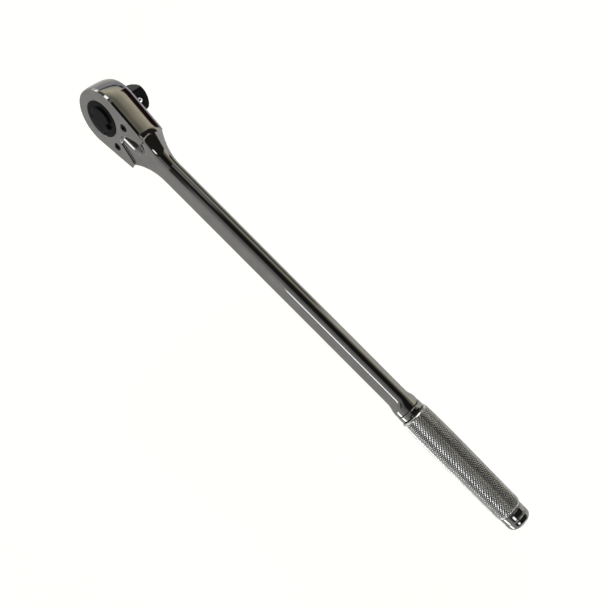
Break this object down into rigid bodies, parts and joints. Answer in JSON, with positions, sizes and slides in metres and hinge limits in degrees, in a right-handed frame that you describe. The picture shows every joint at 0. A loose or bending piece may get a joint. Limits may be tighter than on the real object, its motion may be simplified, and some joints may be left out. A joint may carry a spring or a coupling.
{
  "type": "reversible ratchet handle",
  "caption": "Long chrome ratchet handle with a pear-shaped head, round selector dial, square drive with ball detent, oval shank and knurled grip.",
  "frame": {"origin": "middle of the square drive's end face, on the drive axis", "axes": "+X along the handle from the drive axis to the grip's end, +Y along the drive axis and out of the square drive, +Z across the width of the handle"},
  "size_m": [0.5004, 0.0459, 0.0528],
  "materials": {
    "chrome": "polished chrome plate",
    "knurled_chrome": "chrome plate over diamond knurling",
    "black_finish": "black oxide, satin",
    "bright_steel": "ground",
    "spring_steel": "drawn wire",
    "bronze": "turned",
    "seal_rubber": "matte"
  },
  "bodies": {
    "handle": {"ratchet_body": "chrome", "cover_plate": "chrome", "cover_screw_upper": "black_finish", "cover_screw_lower": "black_finish", "gear_thrust_washer": "bronze", "gear_seal_ring": "seal_rubber", "dial_seal_ring": "seal_rubber", "dial_detent_spring": "spring_steel", "pawl_pin": "bright_steel", "grip_collar": "chrome", "knurled_grip": "knurled_chrome", "grip_end_cap": "chrome"},
    "gear": {"drive_gear": "black_finish", "drive_detent_spring": "spring_steel"},
    "drive_ball": {"drive_detent_ball": "bright_steel"},
    "dial": {"selector_dial": "black_finish", "shift_arm": "bright_steel", "dial_stem_clip": "spring_steel", "shift_plunger_spring": "spring_steel"},
    "plunger": {"shift_plunger": "bright_steel"},
    "pawl": {"reversing_pawl": "bright_steel"},
    "dial_ball": {"dial_detent_ball": "bright_steel"}
  },
  "joints": [
    {"name": "gear_spin", "type": "hinge", "parent": "handle", "child": "gear", "pos_m": [0, -0.032, 0], "axis": [0, 1, 0], "continuous": true},
    {"name": "drive_ball_press", "type": "slide", "parent": "gear", "child": "drive_ball", "axis": [-0.7071, 0, -0.7071], "range_m": [0, 0.0011], "stiffness_N_per_m": 600, "springref_m": -0.002, "deforming": ["drive_detent_spring"]},
    {"name": "dial_turn", "type": "hinge", "parent": "handle", "child": "dial", "pos_m": [0, -0.032, 0], "axis": [0, 1, 0], "range_deg": [0, 30]},
    {"name": "plunger_press", "type": "slide", "parent": "dial", "child": "plunger", "axis": [-0.9659, 0, -0.2588], "range_m": [0, 0.0006], "stiffness_N_per_m": 300, "springref_m": -0.001, "deforming": ["shift_plunger_spring"]},
    {"name": "pawl_rock", "type": "hinge", "parent": "handle", "child": "pawl", "pos_m": [0.0265, -0.032, 0], "axis": [0, -1, 0], "range_deg": [0, 7.5]},
    {"name": "dial_ball_press", "type": "slide", "parent": "handle", "child": "dial_ball", "axis": [0, 1, 0], "range_m": [0, 0.0005], "stiffness_N_per_m": 300, "springref_m": -0.001, "deforming": ["dial_detent_spring"]}
  ],
  "couplings": [
    {"joint": "pawl_rock", "follows": "dial_turn", "ratio": 0.25}
  ]
}
